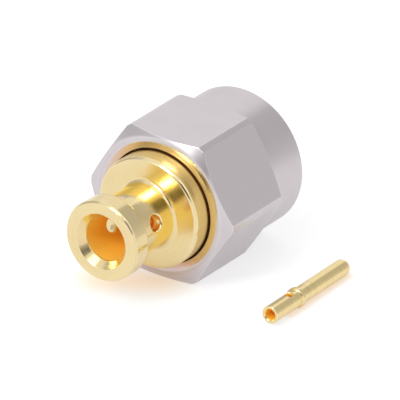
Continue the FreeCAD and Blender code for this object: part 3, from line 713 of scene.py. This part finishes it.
studio = {
    # how brightly the floor shines and how grey it takes light, seen directly and in a reflection
    "floorShown": 0.63, "floorDiffuse": 0.46, "floorMirrored": 0.53, "floorMirroredDiffuse": 0.41,
    "floorWhite": 0.86, "floorHalfWidth": 1500.0, "floorBelow": 0.002,
    # where painted warm light from the gilding lies on the floor: along a line, how wide and how strong
    "glow": [((-7.8, 1.8), (-6.1, -0.6), 2.3, 1.0), ((-4.7, -7.9), (0.7, -7.8), 0.65, 0.85)],
    "glowColour": (1.0, 0.83, 0.66),
    "sky": 0.97,
    # direction, level there, cosines where that level starts and where the even light starts
    "dimmer": [((-0.60, 0.79, 0.10), 0.74, 0.97, 0.92), ((-0.51, -0.60, 0.615), 0.30, 0.993, 0.975),
               ((-0.50, -0.76, 0.42), 0.45, 0.993, 0.975), ((-0.968, -0.06, 0.245), 0.42, 0.992, 0.972),
               ((-0.12, 0.90, 0.42), 0.66, 0.95, 0.86), ((0.75, 0.60, -0.10), 0.88, 0.98, 0.90)],
    "brighter": [((-0.90, 0.24, 0.37), 1.6, 0.99, 0.96), ((-0.43, -0.04, 0.90), 2.1, 0.98, 0.95),
                 ((-0.35, -0.64, 0.68), 1.6, 0.985, 0.95)],
    "lensShade": (0.12, 0.982, 0.945),
    # the far right quarter of the tent: level at its top and at its foot, how high the one turns
    # into the other, and where its edges come in
    "quarter": {"top": 0.60, "foot": 0.76, "rise": (0.0, 0.45), "edgeX": (0.25, 0.55),
                "edgeY": (0.075, -0.005), "edgeZ": (-0.10, 0.0)},
    "lampTowards": (-0.76, 0.09, 0.645), "lampDistance": 160.0, "lampSize": (44.0, 48.0),
    "lampRadiance": 12.0, "reflections": 9,
}


# From 0 to 1 as the cosine between a direction and another one goes from outer to inner
def facing(tree, direction, towards, outer, inner):
    unit = Vector(towards).normalized()
    return ramp(tree, vectorCalc(tree, "DOT_PRODUCT", {0: direction, 1: unit}, "Value"), outer, inner)


# 1 for what the camera sees directly, and for what the other named rays reach
def seenBy(tree, *alsoRays):
    path = addNode(tree, "ShaderNodeLightPath").outputs
    seen = path["Is Camera Ray"]
    for ray in alsoRays:
        seen = calc(tree, "MAXIMUM", seen, path[ray])
    return seen


# A white tent: even light, dimmer and brighter stretches and the dark opening for the lens
def makeTent(s, lensAt):
    world = bpy.data.worlds.new("tent")
    bpy.context.scene.world = world
    world.use_nodes = True
    tree = world.node_tree
    direction = addNode(tree, "ShaderNodeTexCoord").outputs["Generated"]
    level = s["sky"]
    for towards, share, inner, outer in s["dimmer"] + s["brighter"] + [(lensAt, *s["lensShade"])]:
        shade = facing(tree, direction, towards, outer, inner)
        level = calc(tree, "MULTIPLY", level, ramp(tree, shade, 0.0, 1.0, 1.0, share, smooth=False))
    q, parts = s["quarter"], addNode(tree, "ShaderNodeSeparateXYZ", {0: direction}).outputs
    within = calc(tree, "MULTIPLY", ramp(tree, parts["X"], *q["edgeX"]),
                  calc(tree, "MULTIPLY", ramp(tree, parts["Y"], *q["edgeY"]),
                       ramp(tree, parts["Z"], *q["edgeZ"])))
    dimmed = ramp(tree, parts["Z"], *q["rise"], q["foot"], q["top"])
    within = calc(tree, "MULTIPLY", within, calc(tree, "SUBTRACT", 1.0, dimmed))
    level = calc(tree, "MULTIPLY", level, calc(tree, "SUBTRACT", 1.0, within))
    level = calc(tree, "MAXIMUM", level, seenBy(tree))
    background = tree.nodes["Background"]
    tree.links.new(level, background.inputs["Strength"])
    background.inputs["Color"].default_value = (1, 1, 1, 1)


# The floor shows white and keeps its shadows: part of it shines, part takes light. Painted warm light from
# the gilding is strongest on each glow's line and fades with the distance from the nearest point of that
# line.
def makeFloor(s):
    reach, height = s["floorHalfWidth"] * mm, cadBox[0][2] - s["floorBelow"] * mm
    mesh = bpy.data.meshes.new("floor")
    mesh.from_pydata([(-reach, -reach, height), (reach, -reach, height), (reach, reach, height),
                      (-reach, reach, height)], [], [(0, 1, 2, 3)])
    floor = bpy.data.objects.new("floor", mesh)
    bpy.context.scene.collection.objects.link(floor)
    material, tree, surface = newMaterial("tent_floor")
    tree.nodes.remove(surface)
    where = addNode(tree, "ShaderNodeTexCoord").outputs["Object"]
    paintedWarmLight = 0.0
    for start, end, width, strength in s["glow"]:
        a, b = (Vector((*point, 0)) * mm for point in (start, end))
        offset = vectorCalc(tree, "SUBTRACT", {0: where, 1: a + Vector((0, 0, height))})
        along = vectorCalc(tree, "DOT_PRODUCT", {0: offset, 1: b - a}, "Value")
        share = calc(tree, "DIVIDE", along, (b - a).length_squared, clamp=True)
        nearest = vectorCalc(tree, "SCALE", {0: b - a, "Scale": share})
        away = vectorCalc(tree, "DISTANCE", {0: offset, 1: nearest}, "Value")
        paintedWarmLight = calc(tree, "MAXIMUM", paintedWarmLight, ramp(tree, away, 0.0, width * mm, strength, 0.0))
    tint = blendColour(tree, paintedWarmLight, (1.0, 1.0, 1.0), s["glowColour"])
    direct = seenBy(tree)
    strength = ramp(tree, direct, 0, 1, s["floorMirrored"], s["floorShown"])
    shine = addNode(tree, "ShaderNodeEmission", {"Color": tint, "Strength": strength}).outputs[0]
    grey = ramp(tree, direct, 0, 1, s["floorMirroredDiffuse"], s["floorDiffuse"])
    paper = addNode(tree, "ShaderNodeBsdfDiffuse", {
        "Color": blendColour(tree, grey, (0.0, 0.0, 0.0), tint)}).outputs[0]
    shown = addNode(tree, "ShaderNodeAddShader", {0: shine, 1: paper}).outputs[0]
    plain = addNode(tree, "ShaderNodeBsdfDiffuse", {"Color": (s["floorWhite"],) * 3 + (1,)}).outputs[0]
    seen = seenBy(tree, "Is Glossy Ray", "Is Transmission Ray")
    both = addNode(tree, "ShaderNodeMixShader", {0: seen, 1: plain, 2: shown})
    tree.links.new(both.outputs[0], tree.nodes["Material Output"].inputs["Surface"])
    mesh.materials.append(material)


def makeLamp(s):
    towards = Vector(s["lampTowards"]).normalized()
    data = bpy.data.lights.new("soft_box", "AREA")
    data.shape = "RECTANGLE"
    data.size, data.size_y = (side * mm for side in s["lampSize"])
    data.energy = s["lampRadiance"] * math.pi * data.size * data.size_y
    lamp = bpy.data.objects.new("soft_box", data)
    turn = towards.to_track_quat("Z", "Y").to_matrix().to_4x4()
    lamp.matrix_world = Matrix.Translation(towards * s["lampDistance"] * mm) @ turn
    bpy.context.scene.collection.objects.link(lamp)
    lamp.visible_camera = False


lensAt = makeCamera(viewpoint)
makeTent(studio, lensAt)
makeFloor(studio)
makeLamp(studio)
bpy.context.scene.view_settings.view_transform = "Standard"
# the bores only light up after more reflections than Blender's four
bpy.context.scene.cycles.glossy_bounces = studio["reflections"]
bpy.context.scene.cycles.diffuse_bounces = studio["reflections"]
print("camera, tent and lamp set")
